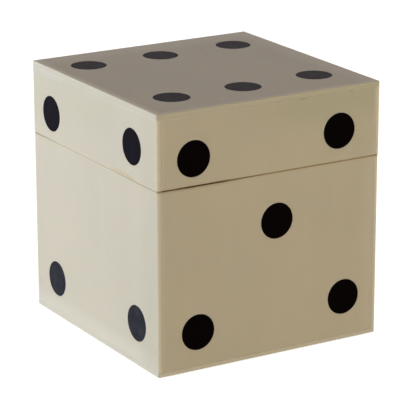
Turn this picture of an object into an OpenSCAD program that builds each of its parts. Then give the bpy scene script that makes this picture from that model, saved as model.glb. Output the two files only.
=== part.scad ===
// Dice box with a hinged lid: a square wooden box dressed on every face with polished bone-coloured
// sheets, with round black pips let in flush, so that the closed box looks like one big die.
// Millimetres, +Z up. The origin is the centre of the felt underside, and the face with five pips,
// the front, looks towards -Y. The lid turns back on two small brass butt hinges in the back rims.

/* [Case] */
// Width of the base, left to right
case_w = 146; // [120:1:200]
// Depth of the base, front to back
case_d = 146; // [120:1:200]
// Height of the closed case, without the felt under it
case_h = 152; // [130:1:220]
// Height of the lid, from the middle of the parting line to its top
lid_h = 43.5; // [41:0.5:54]
// Open gap between the two rims
rim_gap = 0.2; // [0.15:0.05:0.8]
// How far the lid stands out past the base at its front and its two sides
lid_proud = 0.2; // [0:0.05:0.6]
// Angle at which the bevelled back rims meet and stop the lid
open_angle = 97; // [92:1:110]

/* [Walls] */
// Thickness of the polished sheets
sheet_t = 3; // [2:0.25:4.5]
// Thickness of the wooden wall boards
board_t = 8; // [7:0.5:14]
// Thickness of the wooden floor panel and lid panel
panel_t = 5; // [3:0.5:10]
// Width of the rebate in the boards that takes the edge of a panel
rebate_w = 4; // [2:0.5:5]
// Side clearance of a panel in its rebate
panel_fit = 0.15; // [0.05:0.05:0.4]

/* [Arrises] */
// Rounding of the upright corners
corner_r = 0.9; // [0.3:0.1:1.8]
// Rounding round the top
top_ease = 0.6; // [0.2:0.1:1.5]
// Rounding of the two rims
rim_ease = 0.45; // [0.2:0.05:0.6]
// Rounding round the bottom
foot_ease = 1.6; // [0.4:0.1:1.8]
// Depth of the fine groove along each joint between two sheets
joint_v = 0.08; // [0.05:0.01:0.3]
// Bevel on the inner edges of the wooden rims
board_ease = 0.5; // [0.2:0.1:1.5]

/* [Pips] */
// Diameter of a pip
pip_d = 21; // [14:0.5:24]
// Thickness of a pip
pip_t = 1.2; // [0.8:0.1:1.6]
// Clearance round a pip in its pocket
pip_fit = 0.05; // [0.02:0.01:0.15]
// Bevel round the face of a pip
pip_ease = 0.12; // [0.05:0.01:0.3]
// How far the hand-laid pips stray: 0 sets them out evenly, 1 as on the real box
pip_stray = 1; // [0:0.1:1.2]
// Distance from an upright edge of a side face to the middle of its outer pips
side_inset = 25; // [18:0.5:32]
// Distance from the top or bottom of a side face to the middle of its outer pips
row_inset = 25; // [18:0.5:26]
// Distance from the left and right edges of the top to the middle of its outer pips
top_side_inset = 25; // [18:0.5:34]
// Distance from the front and back edges of the top to the middle of its pips
top_row_inset = 28.5; // [18:0.5:40]

/* [Hinges] */
// Length of a hinge
hinge_l = 26; // [20:1:34]
// Distance from the side of the box to the middle of a hinge
hinge_inset = 35; // [30:1:38]
// Radius of the hinge barrel
barrel_r = 2.4; // [2:0.1:2.8]
// Radius of the hinge pin
pin_r = 0.9; // [0.6:0.05:1.1]
// Running clearance of the pin in the knuckles
pin_fit = 0.05; // [0.02:0.01:0.09]
// Clearance round the barrel in the trough that the rims give it
trough_room = 0.3; // [0.2:0.05:0.5]
// Thickness of a hinge leaf
leaf_t = 1.2; // [0.8:0.1:1.6]
// Reach of a hinge leaf from the pin into the rim
leaf_reach = 8.5; // [8:0.25:9.5]
// Rounding of a leaf's corners
leaf_corner = 0.8; // [0.3:0.1:1.5]
// Clearance round a leaf in its seat
leaf_fit = 0.1; // [0.05:0.05:0.3]
// Clearance between one knuckle and the next
knuckle_gap = 0.2; // [0.1:0.05:0.5]
// Distance from the back face in to the hinge pin, which is also the depth of the stop bevel
stop_inset = 0.7; // [0.6:0.05:1]
// Clearance between the two stop bevels when they meet
stop_fit = 0.03; // [0.02:0.01:0.08]

/* [Hinge screws] */
// Radius of a screw head
head_r = 1.8; // [1.4:0.1:2]
// Height of the countersunk head
head_h = 0.9; // [0.6:0.1:1.1]
// Radius of a screw shank
shank_r = 0.8; // [0.6:0.05:1]
// Length of a screw, head and point included
screw_l = 9; // [7:0.5:12]
// Length of a screw's point
point_l = 2; // [1:0.25:3]
// Clearance round a screw in its holes
screw_fit = 0.05; // [0.02:0.01:0.1]

/* [Felt] */
// Thickness of the felt under the base
foot_t = 1; // [0.6:0.1:2]
// Distance from the edge of the base in to the felt under it
foot_inset = 5; // [2:0.5:10]
// Thickness of the felt that lines the floor and the lid
lining_t = 1.2; // [0.6:0.1:3]
// Clearance between a lining and the walls round it
lining_fit = 0.3; // [0.1:0.05:0.8]

/* [Hidden] */
$fn = 64;

// The four side faces, counted round the box from the front, and the top
FRONT = 0;
RIGHT = 1;
BACK = 2;
LEFT = 3;
TOP = 4;

// Each pip is [column, row, drift across, drift up], as seen from outside: columns and rows run from
// -1 to 1, and the drifts are how far the hand that laid them out strayed, in millimetres.
PIPS = [
    [[-1, 1, -1.9, -2.7], [1, 1, -2.3, -0.5], [0, 0, 4.5, 3.9], [-1, -1, 0.8, -1.9], [1, -1, 2.2, 1.5]],
    [[-1, 1, 1.1, -1.2], [0, 0, -1.4, 1.6], [1, -1, 0.6, 1.2]],
    [[1, 1, -0.9, -1.4], [-1, -1, 1.2, 0.8]],
    [[-1, 1, -2.1, -2.3], [1, 1, -2.4, 0.9], [-1, -1, 0.9, -1], [1, -1, 1, 0.7]],
    [[-1, 1, -2.8, 0.4], [0, 1, -2.7, 0.3], [1, 1, 0, 0.8],
     [-1, -1, 1.3, 0.5], [0, -1, -0.4, 0.2], [1, -1, 0.6, 2.2]]
];

// Heights
top_z = foot_t + case_h;
part_z = top_z - lid_h;
base_rim_z = part_z - rim_gap / 2;
lid_rim_z = part_z + rim_gap / 2;
floor_z = foot_t + sheet_t;
ceiling_z = top_z - sheet_t;

// The hinge line lies in the parting plane, just inside the back face
pin_y = case_d / 2 - stop_inset;
hinge_x = case_w / 2 - hinge_inset;
trough_r = barrel_r + trough_room;
knuckles = 5;
knuckle_l = hinge_l / knuckles;
hinge_screws = 3;
screw_y = (leaf_reach + trough_r) / 2;
slot_w = head_r / 4.5;
slot_deep = head_h / 2;

// How far the lid stands out, and the same for the base, which stands out by nothing
LID = lid_proud;
BASE = 0;
// More than any cut needs, so that cuts run clear of what they cut
over = 1;

IVORY = [0.86, 0.83, 0.75];
BLACK = [0.07, 0.07, 0.08];
STAINED = [0.32, 0.2, 0.12];
FELT = [0.11, 0.11, 0.12];
BRASS = [0.75, 0.6, 0.3];

// The corners of the case's plan, drawn in by inset, from the front left one round to the right
function plan_corners(proud, inset) = let (
    x = case_w / 2 + proud - inset,
    y0 = -case_d / 2 - proud + inset,
    y1 = case_d / 2 - inset
) [[-x, y0], [x, y0], [x, y1], [-x, y1]];

// How far a side face is from the middle of the box
function face_reach(face, proud) =
    face == FRONT ? case_d / 2 + proud : face == BACK ? case_d / 2 : case_w / 2 + proud;

// A rectangle with its two lower corners and its two upper corners rounded
module eased_rect(x0, x1, y0, y1, low, high) {
    translate([x0, y0 + low]) square([x1 - x0, y1 - y0 - low - high]);
    translate([x0 + low, y0]) square([x1 - x0 - 2 * low, y1 - y0 - high]);
    translate([x0 + high, y0 + low]) square([x1 - x0 - 2 * high, y1 - y0 - low]);
    for (x = [x0 + low, x1 - low]) translate([x, y0 + low]) circle(r = low);
    for (x = [x0 + high, x1 - high]) translate([x, y1 - high]) circle(r = high);
}

// The corner that the stop bevel takes off a back rim, in the plane of Y and height above the pin.
// Its slope is half of the opening angle, so the two bevels lie together when the lid is open.
module stop_bevel_outline() {
    slope = open_angle / 2;
    start = stop_fit / cos(slope);
    run = stop_inset + over;
    polygon([
        [pin_y - start / tan(slope), 0],
        [pin_y + run, start + run * tan(slope)],
        [pin_y + run, -over],
        [pin_y - start / tan(slope), -over]
    ]);
}

// The outside of the base or of the lid, from z0 to z1, with every arris eased. rim is 1 where the
// rim is the upper end and -1 where it is the lower end, and the back rim is bevelled there.
module case_outside(proud, z0, z1, low, high, rim) {
    c = plan_corners(proud, 0);
    intersection() {
        translate([0, 0, z0]) linear_extrude(z1 - z0)
            eased_rect(c[0][0], c[1][0], c[0][1], c[2][1], corner_r, corner_r);
        translate([0, c[2][1] + over, 0]) rotate([90, 0, 0]) linear_extrude(c[2][1] - c[0][1] + 2 * over)
            eased_rect(c[0][0], c[1][0], z0, z1, low, high);
        translate([c[0][0] - over, 0, 0]) rotate([90, 0, 90]) linear_extrude(c[1][0] - c[0][0] + 2 * over)
            difference() {
                eased_rect(c[0][1], c[2][1], z0, z1, low, high);
                translate([0, part_z])
                    if (rim > 0) mirror([0, 1]) stop_bevel_outline();
                    else stop_bevel_outline();
            }
    }
}

module base_outside() {
    case_outside(BASE, foot_t, base_rim_z, foot_ease, rim_ease, 1);
}

module lid_outside() {
    case_outside(LID, lid_rim_z, top_z, rim_ease, top_ease, -1);
}

// A bar along X with its corners up, which takes a bevel of the given leg off an edge that it lies on
// and cuts a groove that deep into a face
module v_cut(length, leg) {
    rotate([45, 0, 0]) cube([length, leg * sqrt(2), leg * sqrt(2)], center = true);
}

// Such bars along all four sides of the plan drawn in by inset, at height z
module v_cuts_round(proud, inset, z, leg) {
    c = plan_corners(proud, inset);
    width = c[1][0] - c[0][0];
    depth = c[2][1] - c[0][1];
    for (y = [c[0][1], c[2][1]]) translate([0, y, z]) v_cut(width + 2 * leg, leg);
    for (x = [c[0][0], c[1][0]]) translate([x, (c[0][1] + c[2][1]) / 2, z]) rotate([0, 0, 90])
        v_cut(depth + 2 * leg, leg);
}

// The fine grooves along the upright joints between the side sheets and the front and back ones
module upright_joints(proud, z0, z1) {
    c = plan_corners(proud, 0);
    for (x = [c[0][0] + sheet_t, c[1][0] - sheet_t], y = [c[0][1], c[2][1]])
        translate([x, y, (z0 + z1) / 2]) rotate([0, 90, 0]) v_cut(z1 - z0 + 2 * over, joint_v);
}

// A block over the whole plan drawn in by inset
module plan_block(proud, inset, z0, z1) {
    c = plan_corners(proud, inset);
    translate([c[0][0], c[0][1], z0]) cube([c[1][0] - c[0][0], c[2][1] - c[0][1], z1 - z0]);
}

// The upright sheets of the two sides run the whole depth and lap the ends of the front and back ones
module sheet_slab(face, proud, z0, z1) {
    c = plan_corners(proud, 0);
    depth = c[2][1] - c[0][1];
    width = c[1][0] - c[0][0];
    if (face == LEFT) translate([c[0][0], c[0][1], z0]) cube([sheet_t, depth, z1 - z0]);
    if (face == RIGHT) translate([c[1][0] - sheet_t, c[0][1], z0]) cube([sheet_t, depth, z1 - z0]);
    if (face == FRONT) translate([c[0][0] + sheet_t, c[0][1], z0]) cube([width - 2 * sheet_t, sheet_t, z1 - z0]);
    if (face == BACK) translate([c[0][0] + sheet_t, c[2][1] - sheet_t, z0])
        cube([width - 2 * sheet_t, sheet_t, z1 - z0]);
}

// Puts its children on a face, with their +Z pointing out of it
module on_pip(face, proud, pip) {
    if (face == TOP)
        translate([
            pip[0] * (case_w / 2 - top_side_inset) + pip[2] * pip_stray,
            pip[1] * (case_d / 2 - top_row_inset) + pip[3] * pip_stray,
            top_z
        ]) children();
    else rotate([0, 0, 90 * face])
        translate([
            pip[0] * ((face % 2 == 0 ? case_w : case_d) / 2 - side_inset) + pip[2] * pip_stray,
            -face_reach(face, proud),
            foot_t + case_h / 2 + pip[1] * (case_h / 2 - row_inset) + pip[3] * pip_stray
        ]) rotate([90, 0, 0]) children();
}

// The pips of a face that lie in the lid, or those in the base
module on_pips(face, proud, in_lid) {
    for (pip = PIPS[face]) if ((pip[1] == 1 || face == TOP) == in_lid) on_pip(face, proud, pip) children();
}

module pip_discs(face, proud, in_lid) {
    color(BLACK) on_pips(face, proud, in_lid) {
        translate([0, 0, -pip_t]) cylinder(r = pip_d / 2, h = pip_t - pip_ease);
        translate([0, 0, -pip_ease]) cylinder(r1 = pip_d / 2, r2 = pip_d / 2 - pip_ease, h = pip_ease);
    }
}

module pip_pockets(face, proud, in_lid) {
    on_pips(face, proud, in_lid) translate([0, 0, -pip_t]) cylinder(r = pip_d / 2 + pip_fit, h = pip_t + over);
}

// Puts its children at both hinges, with the pin along X
module at_hinges() {
    for (side = [-1, 1]) at_hinge(side) children();
}

module at_hinge(side) {
    translate([side * hinge_x, pin_y, part_z]) children();
}

// Puts its children at the screws of a lower leaf, with the head's top face at their origin
module at_leaf_screws() {
    for (i = [0 : hinge_screws - 1])
        translate([((i + 0.5) / hinge_screws - 0.5) * hinge_l, -screw_y, -rim_gap / 2]) children();
}

// What a hinge takes out of a rim: the seat of its leaf, the trough of its barrel and the pilot holes.
// Drawn for the base, and turned over for the lid.
module hinge_seat() {
    long = hinge_l + 2 * leaf_fit;
    translate([-long / 2, -leaf_reach - leaf_fit, -rim_gap / 2 - leaf_t])
        cube([long, leaf_reach + leaf_fit, leaf_t + over]);
    rotate([0, 90, 0]) cylinder(r = trough_r, h = long, center = true);
    at_leaf_screws() translate([0, 0, -screw_l - screw_fit]) cylinder(r = shank_r + screw_fit, h = screw_l);
}

module base_hinge_seats() {
    at_hinges() hinge_seat();
}

module lid_hinge_seats() {
    at_hinges() mirror([0, 0, 1]) hinge_seat();
}

module base_board(face) {
    outer = plan_corners(BASE, sheet_t);
    inner = plan_corners(BASE, sheet_t + board_t);
    next = (face + 1) % 4;
    color(STAINED) difference() {
        translate([0, 0, floor_z]) linear_extrude(base_rim_z - floor_z)
            polygon([outer[face], outer[next], inner[next], inner[face]]);
        plan_block(BASE, sheet_t + board_t - rebate_w, floor_z - over, floor_z + panel_t);
        v_cuts_round(BASE, sheet_t + board_t, base_rim_z, board_ease);
        if (face == BACK) base_hinge_seats();
    }
}

module lid_board(face) {
    outer = plan_corners(LID, sheet_t);
    inner = plan_corners(LID, sheet_t + board_t);
    next = (face + 1) % 4;
    color(STAINED) difference() {
        translate([0, 0, lid_rim_z]) linear_extrude(ceiling_z - lid_rim_z)
            polygon([outer[face], outer[next], inner[next], inner[face]]);
        plan_block(LID, sheet_t + board_t - rebate_w, ceiling_z - panel_t, ceiling_z + over);
        v_cuts_round(LID, sheet_t + board_t, lid_rim_z, board_ease);
        if (face == BACK) lid_hinge_seats();
    }
}

module base_sheet(face) {
    color(IVORY) difference() {
        intersection() {
            base_outside();
            sheet_slab(face, BASE, floor_z, base_rim_z);
        }
        pip_pockets(face, BASE, false);
        v_cuts_round(BASE, 0, floor_z, joint_v);
        upright_joints(BASE, floor_z, base_rim_z);
        if (face == BACK) base_hinge_seats();
    }
}

module lid_sheet(face) {
    color(IVORY) difference() {
        intersection() {
            lid_outside();
            sheet_slab(face, LID, lid_rim_z, ceiling_z);
        }
        pip_pockets(face, LID, true);
        v_cuts_round(LID, 0, ceiling_z, joint_v);
        upright_joints(LID, lid_rim_z, ceiling_z);
        if (face == BACK) lid_hinge_seats();
    }
}

module base_front_board() base_board(FRONT);
module base_right_board() base_board(RIGHT);
module base_back_board() base_board(BACK);
module base_left_board() base_board(LEFT);

module base_floor_panel() {
    color(STAINED) plan_block(BASE, sheet_t + board_t - rebate_w + panel_fit, floor_z, floor_z + panel_t);
}

module base_front_sheet() base_sheet(FRONT);
module base_right_sheet() base_sheet(RIGHT);
module base_back_sheet() base_sheet(BACK);
module base_left_sheet() base_sheet(LEFT);

module base_bottom_sheet() {
    color(IVORY) difference() {
        intersection() {
            base_outside();
            plan_block(BASE, 0, foot_t, floor_z);
        }
        v_cuts_round(BASE, 0, floor_z, joint_v);
    }
}

module base_front_pips() pip_discs(FRONT, BASE, false);
module base_right_pips() pip_discs(RIGHT, BASE, false);
module base_back_pips() pip_discs(BACK, BASE, false);
module base_left_pips() pip_discs(LEFT, BASE, false);

module base_lining() {
    z = floor_z + panel_t;
    color(FELT) plan_block(BASE, sheet_t + board_t + lining_fit, z, z + lining_t);
}

module base_felt_foot() {
    color(FELT) plan_block(BASE, foot_inset, 0, foot_t);
}

module lid_front_board() lid_board(FRONT);
module lid_right_board() lid_board(RIGHT);
module lid_back_board() lid_board(BACK);
module lid_left_board() lid_board(LEFT);

module lid_panel() {
    color(STAINED) plan_block(LID, sheet_t + board_t - rebate_w + panel_fit, ceiling_z - panel_t, ceiling_z);
}

module lid_front_sheet() lid_sheet(FRONT);
module lid_right_sheet() lid_sheet(RIGHT);
module lid_back_sheet() lid_sheet(BACK);
module lid_left_sheet() lid_sheet(LEFT);

module lid_top_sheet() {
    color(IVORY) difference() {
        intersection() {
            lid_outside();
            plan_block(LID, 0, ceiling_z, top_z);
        }
        pip_pockets(TOP, LID, true);
        v_cuts_round(LID, 0, ceiling_z, joint_v);
    }
}

module lid_front_pips() pip_discs(FRONT, LID, true);
module lid_right_pips() pip_discs(RIGHT, LID, true);
module lid_back_pips() pip_discs(BACK, LID, true);
module lid_left_pips() pip_discs(LEFT, LID, true);
module lid_top_pips() pip_discs(TOP, LID, true);

module lid_lining() {
    z = ceiling_z - panel_t;
    color(FELT) plan_block(LID, sheet_t + board_t + lining_fit, z - lining_t, z);
}

// A cylinder along X that fills the place of knuckle k, drawn in by gap in all
module knuckle_blank(k, r, gap) {
    translate([(k + 0.5) * knuckle_l - hinge_l / 2, 0, 0]) rotate([0, 90, 0])
        cylinder(r = r, h = knuckle_l - gap, center = true);
}

// A leaf with its plate under the parting plane. first is the number of its first knuckle, and it has
// every second one from there, so that the two leaves of a hinge interleave.
module hinge_leaf(first) {
    color(BRASS) difference() {
        union() {
            translate([0, 0, -rim_gap / 2 - leaf_t]) linear_extrude(leaf_t)
                eased_rect(-hinge_l / 2, hinge_l / 2, -leaf_reach, 0, leaf_corner, leaf_corner);
            for (k = [first : 2 : knuckles - 1]) knuckle_blank(k, barrel_r, knuckle_gap);
        }
        for (k = [1 - first : 2 : knuckles - 1]) knuckle_blank(k, trough_r, 0);
        rotate([0, 90, 0]) cylinder(r = pin_r + pin_fit, h = hinge_l + over, center = true);
        at_leaf_screws() translate([0, 0, -head_h]) {
            cylinder(r1 = shank_r + screw_fit, r2 = head_r + screw_fit, h = head_h);
            translate([0, 0, -leaf_t]) cylinder(r = shank_r + screw_fit, h = leaf_t);
        }
    }
}

module hinge_left_lower_leaf() at_hinge(-1) hinge_leaf(0);
module hinge_right_lower_leaf() at_hinge(1) hinge_leaf(0);
module hinge_left_upper_leaf() at_hinge(-1) mirror([0, 0, 1]) hinge_leaf(1);
module hinge_right_upper_leaf() at_hinge(1) mirror([0, 0, 1]) hinge_leaf(1);

module hinge_pin() {
    color(BRASS) rotate([0, 90, 0]) cylinder(r = pin_r, h = hinge_l, center = true);
}

module hinge_left_pin() at_hinge(-1) hinge_pin();
module hinge_right_pin() at_hinge(1) hinge_pin();

// A countersunk wood screw, head up, with a saw slot and a point
module hinge_screw() {
    difference() {
        rotate_extrude() polygon([
            [0, 0], [head_r, 0], [shank_r, -head_h], [shank_r, point_l - screw_l], [0, -screw_l]
        ]);
        translate([-head_r - over, -slot_w / 2, -slot_deep]) cube([2 * (head_r + over), slot_w, slot_deep + over]);
    }
}

module base_hinge_screws() {
    color(BRASS) at_hinges() at_leaf_screws() hinge_screw();
}

module lid_hinge_screws() {
    color(BRASS) at_hinges() mirror([0, 0, 1]) at_leaf_screws() hinge_screw();
}

base_front_board();
base_right_board();
base_back_board();
base_left_board();
base_floor_panel();
base_front_sheet();
base_right_sheet();
base_back_sheet();
base_left_sheet();
base_bottom_sheet();
base_front_pips();
base_right_pips();
base_back_pips();
base_left_pips();
base_lining();
base_felt_foot();
lid_front_board();
lid_right_board();
lid_back_board();
lid_left_board();
lid_panel();
lid_front_sheet();
lid_right_sheet();
lid_back_sheet();
lid_left_sheet();
lid_top_sheet();
lid_front_pips();
lid_right_pips();
lid_back_pips();
lid_left_pips();
lid_top_pips();
lid_lining();
hinge_left_lower_leaf();
hinge_left_upper_leaf();
hinge_left_pin();
hinge_right_lower_leaf();
hinge_right_upper_leaf();
hinge_right_pin();
base_hinge_screws();
lid_hinge_screws();
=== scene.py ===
"""The dice box dressed for its picture: bone-coloured sheets polished after they were glued on,
black pips, dark stained boards, black felt and small brass hinges, on a plain white table."""

import math
from collections import namedtuple

import bpy
from mathutils import Matrix, Vector, noise


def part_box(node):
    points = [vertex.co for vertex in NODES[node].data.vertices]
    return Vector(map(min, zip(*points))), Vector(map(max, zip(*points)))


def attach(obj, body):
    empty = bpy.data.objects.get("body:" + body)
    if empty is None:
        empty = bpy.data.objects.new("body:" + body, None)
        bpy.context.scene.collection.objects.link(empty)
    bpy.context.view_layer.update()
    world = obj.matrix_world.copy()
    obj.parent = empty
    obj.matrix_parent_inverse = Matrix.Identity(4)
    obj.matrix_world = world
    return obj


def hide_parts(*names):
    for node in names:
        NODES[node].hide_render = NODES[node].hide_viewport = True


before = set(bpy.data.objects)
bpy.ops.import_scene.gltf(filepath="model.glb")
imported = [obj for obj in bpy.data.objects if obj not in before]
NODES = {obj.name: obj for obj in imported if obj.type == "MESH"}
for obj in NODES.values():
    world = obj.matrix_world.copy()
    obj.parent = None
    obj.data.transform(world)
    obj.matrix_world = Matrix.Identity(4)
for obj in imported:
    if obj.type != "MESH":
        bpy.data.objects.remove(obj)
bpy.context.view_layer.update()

MM = 0.001

# Where things lie on the box, in millimetres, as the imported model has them. The lid stands a
# little past the base at the front and the sides, so the outermost faces there are the lid's.
LEFT_FACE, FRONT_FACE = (-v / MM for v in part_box("lid_left_sheet")[0][:2])
BASE_FACE = -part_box("base_left_sheet")[0].x / MM
BACK_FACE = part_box("base_back_sheet")[1].y / MM
FOOT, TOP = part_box("base_bottom_sheet")[0].z / MM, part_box("lid_top_sheet")[1].z / MM
BOTTOM_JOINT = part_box("base_bottom_sheet")[1].z / MM
TOP_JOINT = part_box("lid_top_sheet")[0].z / MM
SHEET = TOP - TOP_JOINT
PARTING = (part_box("base_front_sheet")[1].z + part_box("lid_front_sheet")[0].z) / 2 / MM


# Shader maths

# A Mix node's colour sockets share their names with its other ones, so they go by number
MIX_FIRST, MIX_SECOND, MIX_RESULT = 6, 7, 2


class Signal:
    """The output of a shader node. Python's operators on it add the Math nodes that do the same."""

    def __init__(self, finish, socket):
        self.finish = finish
        self.socket = socket

    def __add__(self, other):
        return self.finish.maths("ADD", self, other)

    def __sub__(self, other):
        return self.finish.maths("SUBTRACT", self, other)

    def __rsub__(self, other):
        return self.finish.maths("SUBTRACT", other, self)

    def __mul__(self, other):
        return self.finish.maths("MULTIPLY", self, other)

    def __truediv__(self, other):
        return self.finish.maths("DIVIDE", self, other)

    def __pow__(self, other):
        return self.finish.maths("POWER", self, other)

    def __abs__(self):
        return self.finish.maths("ABSOLUTE", self)

    __radd__ = __add__
    __rmul__ = __mul__


class Finish:
    """A node tree under construction. Places on the piece are in millimetres, in the box's own
    frame, so a pattern stays on its piece when the lid turns."""

    def __init__(self, tree):
        self.tree = tree
        tree.nodes.clear()

    def node(self, kind, settings=None, sockets=None, output=0):
        """Adds a node and gives its output. A socket takes a value, or a Signal to be linked."""
        made = self.tree.nodes.new(kind)
        for key, value in (settings or {}).items():
            setattr(made, key, value)
        for key, value in (sockets or {}).items():
            if isinstance(value, Signal):
                self.tree.links.new(value.socket, made.inputs[key])
            else:
                made.inputs[key].default_value = value
        return Signal(self, made.outputs[output]) if made.outputs else None

    def maths(self, operation, *values):
        return self.node("ShaderNodeMath", {"operation": operation}, dict(enumerate(values)))

    def smaller(self, a, b):
        return self.maths("MINIMUM", a, b)

    def larger(self, a, b):
        return self.maths("MAXIMUM", a, b)

    def rise(self, value, low, high):
        """0 up to low, 1 from high on, smooth between. Turned round, it falls from high to low."""
        if low > high:
            return 1 - self.rise(value, high, low)
        return self.node(
            "ShaderNodeMapRange",
            {"interpolation_type": "SMOOTHSTEP"},
            {"Value": value, "From Min": low, "From Max": high},
        )

    def place(self):
        """The point on the piece, in millimetres."""
        metres = self.node("ShaderNodeTexCoord", output="Object")
        return self.vector("MULTIPLY", metres, (1 / MM,) * 3)

    def vector(self, operation, *values):
        return self.node("ShaderNodeVectorMath", {"operation": operation}, dict(enumerate(values)))

    def parts(self, vector):
        """A vector's x, y and z."""
        return [self.node("ShaderNodeSeparateXYZ", sockets={0: vector}, output=i) for i in range(3)]

    def cloud(self, at, size, detail=2.0, seed=0.0, rough=0.5):
        """Noise whose lumps are about size millimetres across. size may be one for each axis."""
        sizes = size if hasattr(size, "__len__") else (size,) * 3
        moved = self.vector("ADD", at, (seed, seed * 1.7, seed * 0.6))
        sockets = {
            "Vector": self.vector("DIVIDE", moved, sizes),
            "Scale": 1.0,
            "Detail": detail,
            "Roughness": rough,
        }
        return self.node("ShaderNodeTexNoise", sockets=sockets)

    def blend(self, amount, first, second):
        """The first colour, turning into the second as amount goes from 0 to 1."""
        sockets = {0: amount}
        for key, colour in ((MIX_FIRST, first), (MIX_SECOND, second)):
            sockets[key] = colour if isinstance(colour, Signal) else (*colour, 1)
        return self.node("ShaderNodeMix", {"data_type": "RGBA"}, sockets, MIX_RESULT)

    def bump(self, height, depth):
        """A Normal input for a relief depth millimetres deep, where height goes from 0 to 1."""
        sockets = {"Height": height, "Distance": depth * MM, "Strength": 1.0}
        return self.node("ShaderNodeBump", sockets=sockets)

    def surface(self, **sockets):
        """Ends the tree. The sockets are named as on the shader, with underscores."""
        named = {}
        for key, value in sockets.items():
            named[key.replace("_", " ").title().replace("Ior", "IOR")] = value
        shader = self.node("ShaderNodeBsdfPrincipled", sockets=named)
        self.node("ShaderNodeOutputMaterial", sockets={0: shader})


def material(name):
    """A new, empty material and the Finish to build it with."""
    made = bpy.data.materials.new(name)
    made.use_nodes = True
    return made, Finish(made.node_tree)


# The finishes. Colours are linear red, green and blue, and places and reaches are in millimetres.

BONE = (0.655, 0.6, 0.485)
BONE_PALE = (0.76, 0.72, 0.615)
BONE_WARM = (0.63, 0.545, 0.4)
BONE_GREY = (0.635, 0.585, 0.475)
BONE_DULL = (0.57, 0.55, 0.43)
# Paler bone for rubbed arrises and sawn ends, and for painted highlights and painted light beside
# joints and in the parting gap
RUBBED_AND_HIGHLIT_EDGE = (0.84, 0.79, 0.66)
SAWN_EDGE = (0.66, 0.6, 0.475)
GLUE_LINE = (0.42, 0.31, 0.18)
# Dark brown for dirt and painted shade in the parting gap
GRIME_AND_GAP_SHADE = (0.12, 0.07, 0.03)
# Brown filler for chips and stains, also used for dirt and a painted shadow below the parting line
FILLER_AND_SHADOW = (0.4, 0.29, 0.16)
# A cool, milky colour for a painted highlight
COOL_HIGHLIGHT = (0.66, 0.69, 0.68)
OILED_RIM = (0.78, 0.62, 0.36)

# Sheets and pips have little gloss, because what they mirror is a pure white room, and more of it
# would wash their colours out
SHEET_GLOSS = 0.07
PIP_GLOSS = 0.01
WOOD_GLOSS = 0.35
FELT_GLOSS = 0.1

# How translucent the sheets are, how far red, green and blue light reach in them as shares of the
# depth, and that depth
GLOW = 0.6
GLOW_REACH = (1.0, 0.85, 0.65)
GLOW_DEPTH = 2.0 * MM


def arris_distance(f, x, y, z):
    """How far a point of the outer faces is from the nearest arris of the closed box."""
    side = LEFT_FACE - abs(x)
    end = FRONT_FACE - abs(y)
    height = f.smaller(TOP - z, z - FOOT)
    return f.larger(f.smaller(side, end), f.smaller(f.larger(side, end), height))


def spot(f, along, z, stain_or_highlight):
    """The soft oval shape of a stain or a painted highlight on an upright face."""
    dx = (along - stain_or_highlight.across) / stain_or_highlight.reach_across
    dz = (z - stain_or_highlight.up) / stain_or_highlight.reach_up
    return f.rise(dx * dx + dz * dz, 1.0, 0.15)


# What a point of a sheet is like after years of use, and the light and shade painted on it, each
# from 0 to 1: whether it is on the sawn edge, how strongly a glue line shows there, how yellow the
# rim is and how much dirt and painted shade it has, how much painted light the sheet has, how far
# it is rubbed down and painted with a highlight, and how much darker it is
Wear = namedtuple(
    "Wear", "sawn glued yellow dirty faded rubbed dull", defaults=(0, 0, 1, 0, 0, 0, 0)
)

# A stain or a painted highlight on an upright face. Its middle is so far across, along X (axis 0)
# or Y (axis 1), and so far up from the table.
StainOrHighlight = namedtuple("StainOrHighlight", "colour axis across up reach_across reach_up strength")


def stock_colour(f, at, stock, broad, fine):
    """The stock's own colour, with its clouds, its upright streaks and its warm flecks."""
    streaks = f.cloud(at, (13, 13, 90), 3, stock + 31, 0.6)
    colour = f.blend(f.rise(broad, 0.34, 0.68), BONE_GREY, BONE)
    colour = f.blend(f.rise(streaks, 0.45, 0.8) * 0.1, colour, BONE_PALE)
    return f.blend(f.rise(fine, 0.55, 0.8) * 0.1, colour, BONE_WARM)


def pale_and_highlight_arrises(f, colour, near, sawn, broad, fine):
    """The sheets are paler at the arrises, partly rubbed and partly a painted highlight of the
    light on the rounded arrises. near is how far the nearest one is.
    """
    # Paler near the arrises, partly rubbing and partly a painted highlight
    colour = f.blend(f.rise(near + broad * 3, 5.5, 1.0) * 0.12, colour, BONE_PALE)
    colour = f.blend(f.rise(near, 2.2, 0.3) * 0.16, colour, RUBBED_AND_HIGHLIT_EDGE)
    return f.blend(sawn * f.rise(fine, 0.2, 0.7) * 0.35, colour, SAWN_EDGE)


def show_joints(f, colour, gap, line, glued, dirt, chips):
    """gap is how far the nearest joint is, and line how far the one under the top or over the
    bottom is. Beside a joint a sheet loses light into its own edge, so it is painted paler there,
    a painted light that makes it look even."""
    # Painted paler beside the joints, a painted light
    colour = f.blend(f.rise(gap, 1.6, 0.1) * 0.3, colour, RUBBED_AND_HIGHLIT_EDGE)
    colour = f.blend(f.rise(line, 1.0, 0.1) * glued * (0.1 + 0.5 * dirt), colour, GLUE_LINE)
    return f.blend(f.rise(chips, 0.56, 0.66) * f.rise(line, 0.8, 0.3) * glued * 0.7, colour, FILLER_AND_SHADOW)


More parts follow.
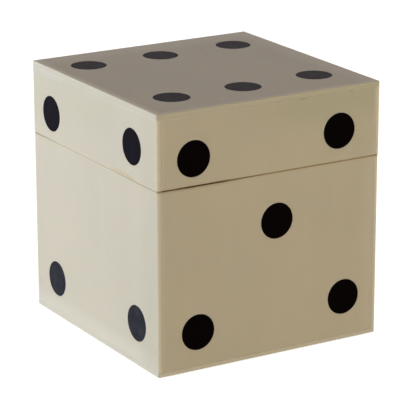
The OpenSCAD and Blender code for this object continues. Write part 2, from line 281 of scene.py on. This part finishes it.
def soil_and_shade_rims(f, colour, z, rim, worn, dirt):
    """The rims have yellowed. Along the parting line they darken, partly with dirt and partly with
    painted shade in the gap, and below it more, with dirt and a painted shadow of the lid's edge.
    Where they are less yellow they are painted paler, a painted light shining into the gap. rim is
    how far the parting line is."""
    # Below the parting line, where the lid's overhanging edge casts a painted shadow on the base
    lid_shadow_below = f.rise(z, PARTING, PARTING - 0.3)
    # Painted light shining into the gap, where the rim is less yellow
    colour = f.blend(f.rise(rim, 1.2, 0.2) * (1 - worn.yellow) * 0.65, colour, RUBBED_AND_HIGHLIT_EDGE)
    oiled = f.rise(rim, 1.3, 0.2) * (0.6 - worn.dirty * 0.4) * worn.yellow
    colour = f.blend(oiled, colour, OILED_RIM)
    # Dirt along the rim, and more below the line, where it is dirt and the lid's painted shadow
    smeared_and_shadowed = worn.dirty * (0.15 + 0.45 * lid_shadow_below)
    colour = f.blend(f.rise(rim + dirt * 0.5, 2.6, 0.3) * smeared_and_shadowed, colour, FILLER_AND_SHADOW)
    # Dirt and painted shade in the gap
    return f.blend(f.rise(rim + dirt * 0.3, 0.95, 0.4) * worn.dirty, colour, GRIME_AND_GAP_SHADE)


def polished_sheet(name, stock, joint, wear, stains_and_highlights=()):
    """Bone-coloured sheet. stock is the place in the stock that it was sawn from, joint gives how
    far the nearest glue line is, wear gives the Wear, and stains_and_highlights are the stains and
    painted highlights that it alone has."""
    made, f = material(name)
    at = f.place()
    x, y, z = f.parts(at)
    worn = wear(f, x, y, z)
    broad = f.cloud(at, 55, 3, stock)
    fine = f.cloud(at, 2.2, 3, stock + 57)
    dirt = f.cloud(at, 6, 3, stock + 83, 0.65)
    chips = f.cloud(at, (4.5, 4.5, 2), 3, stock + 7, 0.7)
    rim = abs(z - PARTING)

    colour = stock_colour(f, at, stock, broad, fine)
    # Painted light: paler where light falls brightest or glows through the sheet
    colour = f.blend(worn.faded, colour, BONE_PALE)
    # Darker strips
    colour = f.blend(worn.dull, colour, BONE_DULL)
    # Rubbed ends and arrises, partly a painted highlight
    colour = f.blend(worn.rubbed, colour, RUBBED_AND_HIGHLIT_EDGE)
    colour = pale_and_highlight_arrises(f, colour, arris_distance(f, x, y, z), worn.sawn, broad, fine)
    gap, line = joint(f, x, y, z), cap_joint(f, x, y, z)
    colour = show_joints(f, colour, gap, line, worn.glued, dirt, chips)
    colour = soil_and_shade_rims(f, colour, z, rim, worn, dirt)
    for stain_or_highlight in stains_and_highlights:
        shape = spot(f, (x, y)[stain_or_highlight.axis], z, stain_or_highlight)
        colour = f.blend(shape * f.rise(fine, 0.25, 0.6) * stain_or_highlight.strength, colour, stain_or_highlight.colour)

    scuffs = f.cloud(at, (0.5, 14, 14), 2, stock + 11) * f.cloud(at, (14, 14, 0.5), 2, stock + 19)
    scuffed = f.rise(scuffs, 0.3, 0.45)
    f.surface(
        base_color=colour,
        roughness=0.33 + 0.14 * fine + 0.1 * scuffed + f.rise(rim, 1.2, 0.3) * 0.15,
        specular_IOR_level=SHEET_GLOSS,
        subsurface_weight=GLOW,
        subsurface_radius=GLOW_REACH,
        subsurface_scale=GLOW_DEPTH,
        normal=f.bump(broad * 0.9 + fine * 0.06 - scuffed * 0.03, 0.03),
    )
    return made


# More than any glue line's reach
OUT_OF_REACH = 9
# A height between the glue line under the top and the one over the bottom
BETWEEN_JOINTS = 90


def at_face(f, distance, face):
    """1 on a face that lies so far from the middle, and 0 short of it."""
    return f.rise(distance, face - 0.5, face - 0.1)


def cap_joint(f, x, y, z):
    """How far the glue line under the top sheet or over the bottom one is."""
    return f.smaller(abs(z - TOP_JOINT), abs(z - BOTTOM_JOINT))


def all_joints(f, x, y, z):
    """The same, with the upright glue lines beside the corners. They show at the front and the
    back only."""
    elsewhere = f.rise(abs(y), BACK_FACE - 0.8, BACK_FACE - 0.9)
    upright = abs(abs(x) - (BASE_FACE - SHEET)) + elsewhere * OUT_OF_REACH
    return f.smaller(cap_joint(f, x, y, z), upright)


def wear_front(f, x, y, z):
    """The parting line is darkest in the left half, with dirt and painted shade in the gap. The
    glue line under the top is chipped to the right of it. The right end is painted paler, a painted
    glow of light through the right corner, and the sheet is darker near the top towards the right."""
    chipped = 0.15 + 0.85 * f.rise(x, -38, -18)
    left_darkening = 0.32 + 0.25 * f.rise(x, 0, -28) + 0.4 * f.rise(x, -22, -34)
    return Wear(
        glued=0.38 * f.larger(chipped, f.rise(z, BETWEEN_JOINTS, BETWEEN_JOINTS - 1)),
        # Darker along the parting line, with dirt and painted shade, most at the left
        dirty=left_darkening - 0.22 * f.rise(x, -50, -64),
        # Painted light: a painted glow at the right end
        faded=0.3 * f.rise(x, 58, 70) * f.rise(z, PARTING + 12, PARTING - 15),
        # Darker near the top towards the right
        dull=0.8 * f.rise(x, -40, 30) * f.rise(z, 124, 144),
    )


def ends(f, x, y):
    """Where a sheet of one of the two sides shows its sawn end, at the front and the back. The
    end is paler towards the arris, partly rubbed down and partly a painted highlight."""
    sawn = at_face(f, abs(y), BACK_FACE)
    return sawn, sawn * f.rise(abs(x), BASE_FACE - SHEET - 0.3, BASE_FACE - 0.9)


def wear_left(f, x, y, z):
    """Darker along the parting line towards its ends, with dirt and painted shade there, and darker
    along the top and towards the front. It is painted paler at the bottom, a painted glow of light
    from the white table, and its rim is painted paler in the middle, a painted light in the gap.
    """
    sawn, rubbed = ends(f, x, y)
    darkened_top = 0.4 * f.rise(z, 115, 136) * f.rise(y, -50, -10)
    return Wear(
        sawn=sawn,
        glued=0.3 * f.rise(z, BETWEEN_JOINTS, BETWEEN_JOINTS - 10),
        # Less yellow in the middle, where the rim is painted paler, a painted light in the gap
        yellow=0.45 + 0.55 * sawn,
        dirty=0.05 + 0.14 * f.rise(y, -22, -52) + 0.3 * f.rise(y, 35, 66) + 0.3 * sawn,
        # Painted light: paler at the bottom, a painted glow from the white table
        faded=0.4 * f.rise(z, 17, 7),
        rubbed=0.95 * rubbed,
        dull=(0.35 * f.rise(y, -48, -64) + darkened_top) * (1 - sawn),
    )


def wear_elsewhere(f, x, y, z):
    """The parting line a little darker, with dirt and painted shade, more so at the corners."""
    return Wear(glued=0.3, dirty=0.08 + 0.3 * f.rise(abs(x) + abs(y), 118, 140))


def wear_right(f, x, y, z):
    """As elsewhere, with the sawn ends that the two sides have, paler towards the arris, partly
    rubbed and partly a painted highlight.
    """
    sawn, rubbed = ends(f, x, y)
    return wear_elsewhere(f, x, y, z)._replace(sawn=sawn, rubbed=0.85 * rubbed)


def wear_top(f, x, y, z):
    """Painted paler towards the back and the right, a painted glow of the light from behind; paler
    at the front and left arrises, partly rubbed down and partly a painted highlight; darker on its
    sawn edges, more so to the right.
    """
    edge = at_face(f, f.larger(abs(x), abs(y)), BACK_FACE)
    return Wear(
        sawn=edge,
        glued=0.3,
        # Painted light: a painted glow of the light from behind and the right
        faded=0.7 * f.rise(y, 52, 68) + 0.55 * f.rise(x, 58, 70),
        # Paler at the front and left arrises, partly rubbed and partly a painted highlight
        rubbed=f.larger(0.95 * f.rise(x, -67.8, -72.3), 0.6 * f.rise(y, -68.5, -72.4)) * (1 - edge),
        # Darker on its sawn edges
        dull=(0.6 + 0.4 * f.rise(x, -40, 30)) * edge,
    )


def wear_bottom(f, x, y, z):
    """Painted pale, a painted highlight along the bottom edge, but less so along its left edge."""
    # Painted light along the bottom edge
    return Wear(sawn=0.5, glued=0.3, faded=0.8 - 0.45 * f.rise(x, -71.5, -72.5))


def black_pip(name, stock, black):
    """Black resin, let in and rubbed down with the sheet round it."""
    made, f = material(name)
    at = f.place()
    cloudy = f.cloud(at, 7, 3, stock)
    swirl = f.cloud(at, (0.6, 0.6, 5), 3, stock + 5)
    darker, paler = (tuple(share * c for c in black) for share in (0.8, 1.2))
    dusty = tuple(1.4 * c + 0.001 for c in black)
    colour = f.blend(f.rise(cloudy, 0.35, 0.7), darker, paler)
    colour = f.blend(f.rise(swirl, 0.62, 0.8) * 0.5, colour, dusty)
    f.surface(
        base_color=colour,
        roughness=0.3 + 0.14 * cloudy + 0.08 * f.rise(swirl, 0.55, 0.75),
        specular_IOR_level=PIP_GLOSS,
        normal=f.bump(cloudy * 0.8 + swirl * 0.1, 0.02),
    )
    return made


WOOD_DARK = (0.052, 0.023, 0.012)
WOOD = (0.115, 0.052, 0.027)
WOOD_LIGHT = (0.185, 0.09, 0.048)
WOOD_PORE = (0.02, 0.009, 0.005)

# Where the middle of the log was, aside of a board and under it. Then how fast its rings follow
# each other, in radians a millimetre, and how far they waver, in radians.
PITH_ASIDE, PITH_BELOW = 30, 55
RING_PACE = 1.9
RING_WAVER = 17


def stained_wood(name, along, stock):
    """Dark stained hardwood with its grain running along X (0) or Y (1)."""
    made, f = material(name)
    at = f.place()

    def stretch(across, length):
        return tuple(length if axis == along else across for axis in range(3))

    waver = f.cloud(at, stretch(22, 90), 3, stock)
    x, y, z = f.parts(at)
    aside = (y, x)[along] + PITH_ASIDE + stock
    above = z + PITH_BELOW
    rings = f.maths("SINE", (aside * aside + above * above) ** 0.5 * RING_PACE + waver * RING_WAVER)
    rings = rings * 0.5 + 0.5
    fibre = f.cloud(at, stretch(0.45, 24), 3, stock + 3, 0.6)
    pores = f.rise(f.cloud(at, stretch(0.32, 5), 2, stock + 9), 0.62, 0.72)
    colour = f.blend(f.rise(waver, 0.3, 0.7), WOOD, WOOD_LIGHT)
    colour = f.blend(rings * 0.5, colour, WOOD_DARK)
    colour = f.blend(f.rise(fibre, 0.4, 0.75) * 0.35, colour, WOOD_LIGHT)
    colour = f.blend(pores * 0.7, colour, WOOD_PORE)
    f.surface(
        base_color=colour,
        roughness=0.46 + 0.12 * fibre + 0.15 * pores,
        specular_IOR_level=WOOD_GLOSS,
        normal=f.bump(fibre * 0.5 + rings * 0.2 - pores, 0.05),
    )
    return made


BRASS = (0.72, 0.52, 0.24)
BRASS_BRIGHT = (0.83, 0.64, 0.34)
BRASS_DULL = (0.4, 0.26, 0.11)


def brushed_brass(name, stock, line):
    """Lacquered brass gone a little dull. line is how long its brush lines are along each axis."""
    made, f = material(name)
    at = f.place()
    brushed = f.cloud(at, line, 3, stock, 0.6)
    tarnish = f.cloud(at, 2.6, 4, stock + 4, 0.65)
    colour = f.blend(f.rise(brushed, 0.35, 0.7), BRASS, BRASS_BRIGHT)
    colour = f.blend(f.rise(tarnish, 0.48, 0.7) * 0.75, colour, BRASS_DULL)
    f.surface(
        base_color=colour,
        metallic=1.0,
        roughness=0.27 + 0.16 * brushed + 0.22 * f.rise(tarnish, 0.45, 0.7),
        normal=f.bump(brushed, 0.02),
    )
    return made


FELT = (0.008, 0.008, 0.01)
FELT_MATTED = (0.02, 0.02, 0.023)
FELT_FIBRE = (0.05, 0.05, 0.055)


def wool_felt(name, stock):
    """Black wool felt: matted, with paler fibres that cross in four directions."""
    made, f = material(name)
    at = f.place()
    x, y, z = f.parts(at)
    matted = f.cloud(at, 0.9, 4, stock, 0.7)
    turned = f.node("ShaderNodeCombineXYZ", sockets={0: x + y, 1: x - y, 2: z})
    straight = f.larger(
        f.cloud(at, (0.16, 2.4, 1), 2, stock + 2), f.cloud(at, (2.4, 0.16, 1), 2, stock + 3)
    )
    slanting = f.larger(
        f.cloud(turned, (0.2, 3.0, 1), 2, stock + 5), f.cloud(turned, (3.0, 0.2, 1), 2, stock + 6)
    )
    fibres = f.larger(straight, slanting)
    colour = f.blend(f.rise(matted, 0.3, 0.7), FELT, FELT_MATTED)
    colour = f.blend(f.rise(fibres, 0.62, 0.8) * 0.6, colour, FELT_FIBRE)
    f.surface(
        base_color=colour,
        roughness=0.9 + 0.1 * matted,
        specular_IOR_level=FELT_GLOSS,
        sheen_weight=0.12,
        sheen_roughness=0.5,
        normal=f.bump(matted * 0.6 + fibres * 0.7, 0.25),
    )
    return made


def finish_node(node, made):
    """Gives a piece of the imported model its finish."""
    slots = NODES[node].data.materials
    slots.clear()
    slots.append(made)


SIDES = ("front", "right", "back", "left")

# How far apart in the stock one sheet was sawn from the next
STOCK_STEP = 37

# The pips of the left sides and the top are painted greyer, bluish and purplish, a painted
# reflection of the room in their gloss
BLACK = (0.0015, 0.0002, 0.0002)
PIP_BLACKS_AND_SHEENS = {
    "base_left_pips": (0.029, 0.029, 0.0395),
    "lid_left_pips": (0.004, 0.003, 0.008),
    "lid_top_pips": (0.0125, 0.005, 0.0095),
}

# The sides that are worn in a way of their own
WEAR = {"front": wear_front, "right": wear_right, "left": wear_left}

# Chips in the front's glue line, a yellow smear over the left side's parting line and a cool
# painted highlight at its top back corner
STAINS_AND_HIGHLIGHTS = {
    "lid_front_sheet": (
        StainOrHighlight(FILLER_AND_SHADOW, 0, 20.5, TOP_JOINT - 0.6, 4.6, 0.75, 0.4),
        StainOrHighlight(FILLER_AND_SHADOW, 0, 53.5, TOP_JOINT - 0.4, 2.0, 0.7, 0.6),
        StainOrHighlight(FILLER_AND_SHADOW, 0, 61.0, TOP_JOINT - 0.3, 1.6, 0.6, 0.5),
        StainOrHighlight(FILLER_AND_SHADOW, 0, 38.0, TOP_JOINT - 0.2, 9.0, 0.45, 0.35),
        StainOrHighlight(FILLER_AND_SHADOW, 0, 4.0, TOP_JOINT - 0.3, 3.0, 0.5, 0.3),
    ),
    "lid_left_sheet": (
        StainOrHighlight(OILED_RIM, 1, -37.0, PARTING + 1.2, 27.0, 2.3, 0.3),
        StainOrHighlight(FILLER_AND_SHADOW, 1, -35.0, PARTING + 1.1, 17.0, 2.0, 0.26),
        # A painted highlight at the top back corner, where the arris catches the light
        StainOrHighlight(COOL_HIGHLIGHT, 1, 50.0, TOP_JOINT - 1.6, 28.0, 2.6, 0.3),
    ),
}


def dress_sheets():
    stock = 3
    for half in ("base", "lid"):
        for side in SIDES:
            node = f"{half}_{side}_sheet"
            wear = WEAR.get(side, wear_elsewhere)
            finish_node(node, polished_sheet(node, stock, all_joints, wear, STAINS_AND_HIGHLIGHTS.get(node, ())))
            stock += STOCK_STEP
    for node, wear in (("base_bottom_sheet", wear_bottom), ("lid_top_sheet", wear_top)):
        finish_node(node, polished_sheet(node, stock, cap_joint, wear))
        stock += STOCK_STEP


def dress_pips():
    for i, half in enumerate(("base", "lid")):
        for j, side in enumerate(SIDES + (("top",) if half == "lid" else ())):
            node = f"{half}_{side}_pips"
            finish_node(node, black_pip(node, 11 * i + 3 * j, PIP_BLACKS_AND_SHEENS.get(node, BLACK)))


def dress_wood():
    for i, half in enumerate(("base", "lid")):
        for j, side in enumerate(SIDES):
            node = f"{half}_{side}_board"
            finish_node(node, stained_wood(node, j % 2, 13 * i + 5 * j))
    finish_node("base_floor_panel", stained_wood("base_floor_panel", 0, 41))
    finish_node("lid_panel", stained_wood("lid_panel", 0, 47))


def dress_hinges():
    leaves = brushed_brass("hinge_leaves", 2, (7, 0.25, 0.25))
    for side in ("left", "right"):
        for leaf in ("lower", "upper"):
            finish_node(f"hinge_{side}_{leaf}_leaf", leaves)
        pin = f"hinge_{side}_pin"
        finish_node(pin, brushed_brass(pin, 5, (0.2, 0.2, 0.2)))
    for half in ("base", "lid"):
        screws = f"{half}_hinge_screws"
        finish_node(screws, brushed_brass(screws, 9, (0.4, 0.4, 0.4)))


def add_object(name, data):
    """A new object in the scene."""
    made = bpy.data.objects.new(name, data)
    bpy.context.scene.collection.objects.link(made)
    return made


# The felt

# How far apart the points of its mesh are
FELT_PITCH = 1.15 * MM
# How deep the shown side's lumps and pile are in all, and how wide a lump and a tuft are
FELT_NAP = 0.16 * MM
FELT_LUMP = 6 * MM
FELT_TUFT = 1.3 * MM
# How far in from its edge the shown side turns down, and by what share of the thickness
FELT_EDGE = 0.5 * MM
FELT_EDGE_DROP = 0.3
# How far the scissors strayed to each side of their line, and in what length
CUT_STRAY = 0.12 * MM
CUT_WAVE = 9 * MM


def felt_nap(x, y, face):
    """How far the shown side lies below its highest."""
    lumps = noise.fractal(Vector((x, y, face)) / FELT_LUMP, 1.0, 2.0, 2) * 0.5
    pile = noise.noise(Vector((x, y, 3 + face)) / FELT_TUFT) * 0.5
    return FELT_NAP * min(1.0, max(0.0, 0.5 + lumps * 0.6 + pile * 0.7))


def cut_line(along, seed):
    """How far inside the full size an edge was cut."""
    return CUT_STRAY * (1 + noise.noise(Vector((along / CUT_WAVE, seed, 0.5))))


def felt_points(low, high, face, columns, rows):
    """The points of the shown side, row by row, and then those of the glued side."""
    size = high - low
    shown, glued = (high.z, low.z) if face > 0 else (low.z, high.z)
    points = []
    for layer in range(2):
        for j in range(rows + 1):
            for i in range(columns + 1):
                u, v = i / columns, j / rows
                x, y = low.x + u * size.x, low.y + v * size.y
                if i in (0, columns):
                    x += cut_line(y, 1 + i) * (1 if i == 0 else -1)
                if j in (0, rows):
                    y += cut_line(x, 5 + j) * (1 if j == 0 else -1)
                if layer:
                    z = glued
                else:
                    inward = min(min(u, 1 - u) * size.x, min(v, 1 - v) * size.y)
                    edge = max(0.0, 1 - inward / FELT_EDGE)
                    sunk = felt_nap(x, y, face) + edge * FELT_EDGE_DROP * abs(shown - glued)
                    z = shown - face * sunk
                points.append((x, y, z))
    return points


def felt_faces(face, columns, rows):
    """Squares over both sides and round the edge, turned outwards."""

    def point(i, j, layer):
        return (layer * (rows + 1) + j) * (columns + 1) + i

    faces = []
    for layer in range(2):
        for j in range(rows):
            for i in range(columns):
                corners = ((i, j), (i + 1, j), (i + 1, j + 1), (i, j + 1))
                quad = [point(*corner, layer) for corner in corners]
                faces.append(quad if (layer == 0) == (face > 0) else quad[::-1])
    rim = [(i, 0) for i in range(columns)] + [(columns, j) for j in range(rows)]
    rim += [(i, rows) for i in range(columns, 0, -1)] + [(0, j) for j in range(rows, 0, -1)]
    for a, b in zip(rim, rim[1:] + rim[:1]):
        quad = [point(*a, 1), point(*b, 1), point(*b, 0), point(*a, 0)]
        faces.append(quad if face > 0 else quad[::-1])
    return faces


def felt_piece(name, node, body, face, finish):
    """A piece of felt cut to fit. face is 1 where its upper side shows and -1 where its lower
    side does; the other side lies flat on what it is glued to. The shown side is a little lumpy
    and turns down at the edge, where the scissors pressed it."""
    low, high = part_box(node)
    size = high - low
    columns, rows = (max(2, round(side / FELT_PITCH)) for side in size[:2])
    mesh = bpy.data.meshes.new(name)
    points = felt_points(low, high, face, columns, rows)
    mesh.from_pydata(points, [], felt_faces(face, columns, rows))
    mesh.polygons.foreach_set("use_smooth", [True] * len(mesh.polygons))
    mesh.materials.append(finish)
    mesh.update()
    piece = add_object(name, mesh)
    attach(piece, body)
    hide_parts(node)


def lay_felt():
    felt = wool_felt("black_felt", 4)
    felt_piece("floor_felt", "base_lining", "base", 1, felt)
    felt_piece("lid_felt", "lid_lining", "lid", -1, felt)
    felt_piece("foot_felt", "base_felt_foot", "base", -1, felt)


# The table, the light and the camera

# The box's height without its foot, and its middle, in metres
HEIGHT = (TOP - FOOT) * MM
MIDDLE = Vector((0, 0, FOOT * MM + HEIGHT / 2))

TABLE_REACH = 12.0
TABLE_PAPER = (0.9, 0.9, 0.9)
# What the table shines by itself, where it is seen, so that it looks as white as the room behind it
TABLE_GLOW = (0.85, 0.87, 0.88)

WHITE = (1, 1, 1)
# The light that comes from all round
AMBIENT = (0.175, 0.137, 0.123)
DAYLIGHT = (0.8, 0.9, 1.0)
LAMPLIGHT = (1.0, 0.91, 0.64)
FILL_LIGHT = (1.0, 0.95, 0.88)


def seen_directly(f):
    """1 for what is seen, straight or in gloss or through glass, and 0 for light on things."""
    rays = ("Is Camera Ray", "Is Glossy Ray", "Is Transmission Ray")
    camera, gloss, glass = (f.node("ShaderNodeLightPath", output=ray) for ray in rays)
    return f.smaller(camera + gloss + glass, 1.0)


def lay_table():
    """A white table that reaches past the picture on all sides."""
    mesh = bpy.data.meshes.new("table")
    reach = TABLE_REACH
    corners = [(-reach, -reach, 0), (reach, -reach, 0), (reach, reach, 0), (-reach, reach, 0)]
    mesh.from_pydata(corners, [], [(0, 1, 2, 3)])
    table = add_object("table", mesh)
    made, f = material("white_table")
    paper = f.node("ShaderNodeBsdfDiffuse", sockets={"Color": (*TABLE_PAPER, 1)})
    glow = f.node("ShaderNodeEmission", sockets={"Color": (*TABLE_GLOW, 1)})
    white = f.node("ShaderNodeAddShader", sockets={0: paper, 1: glow})
    both = f.node("ShaderNodeMixShader", sockets={0: seen_directly(f), 1: paper, 2: white})
    f.node("ShaderNodeOutputMaterial", sockets={0: both})
    mesh.materials.append(made)


def light_room():
    """Even light from all round, from a room that looks pure white."""
    world = bpy.data.worlds.new("room")
    bpy.context.scene.world = world
    world.use_nodes = True
    f = Finish(world.node_tree)
    room = f.node("ShaderNodeBackground", sockets={0: (*AMBIENT, 1)})
    white = f.node("ShaderNodeBackground", sockets={0: (*WHITE, 1)})
    both = f.node("ShaderNodeMixShader", sockets={0: seen_directly(f), 1: room, 2: white})
    f.node("ShaderNodeOutputWorld", sockets={0: both})


def lamp(name, place, level, width, height, colour):
    """A soft box aimed at the box's middle. level is how bright it makes a white card there."""
    data = bpy.data.lights.new(name, "AREA")
    data.shape = "RECTANGLE"
    data.size, data.size_y = width, height
    data.color = colour
    aim = MIDDLE - Vector(place)
    data.energy = level * math.pi ** 2 * aim.length_squared
    made = add_object(name, data)
    made.visible_camera = False
    turned = aim.to_track_quat("-Z", "Y").to_matrix().to_4x4()
    made.matrix_world = Matrix.Translation(place) @ turned


def hang_lamps():
    lamp("window_left", (-1.55, 0.3, 0.26), 0.65, 1.1, 0.45, DAYLIGHT)
    lamp("soft_front", (0.25, -1.7, 0.4), 0.31, 1.2, 0.7, LAMPLIGHT)
    lamp("fill_right", (1.6, -0.15, 0.2), 0.4, 0.9, 0.4, FILL_LIGHT)
    lamp("fill_behind", (-0.9, 1.6, 0.2), 0.3, 0.9, 0.4, FILL_LIGHT)


# Where the picture is taken from: the angles round the box, above it and about the line of sight,
# the distance, and how far right of the box's middle and below it the camera is set
CAMERA_ROUND, CAMERA_UP, CAMERA_ROLL = (math.radians(a) for a in (-30.937, 17.188, -0.069))
CAMERA_AWAY = 9.188 * HEIGHT
CAMERA_RIGHT, CAMERA_LOW = 0.010 * HEIGHT, 0.038 * HEIGHT
LENS = 207.96
SENSOR_WIDTH = 36
# The farthest that the camera sees, in metres, which is past the end of the table
FARTHEST = 50


def set_camera():
    """Stands in front of the left corner and a little above, far off with a long lens."""
    back = Vector((
        math.sin(CAMERA_ROUND) * math.cos(CAMERA_UP),
        -math.cos(CAMERA_ROUND) * math.cos(CAMERA_UP),
        math.sin(CAMERA_UP),
    ))
    right = Vector((0, 0, 1)).cross(back).normalized()
    up = back.cross(right)
    turned = Matrix((right, up, back)).transposed() @ Matrix.Rotation(CAMERA_ROLL, 3, "Z")
    place = MIDDLE + back * CAMERA_AWAY + right * CAMERA_RIGHT - up * CAMERA_LOW
    data = bpy.data.cameras.new("camera")
    data.sensor_width = SENSOR_WIDTH
    data.lens = LENS
    data.clip_end = FARTHEST
    camera = add_object("camera", data)
    camera.matrix_world = Matrix.Translation(place) @ turned.to_4x4()
    bpy.context.scene.camera = camera


set_camera()
dress_sheets()
dress_pips()
dress_wood()
dress_hinges()
lay_felt()
lay_table()
light_room()
hang_lamps()
bpy.context.scene.view_settings.view_transform = "Standard"
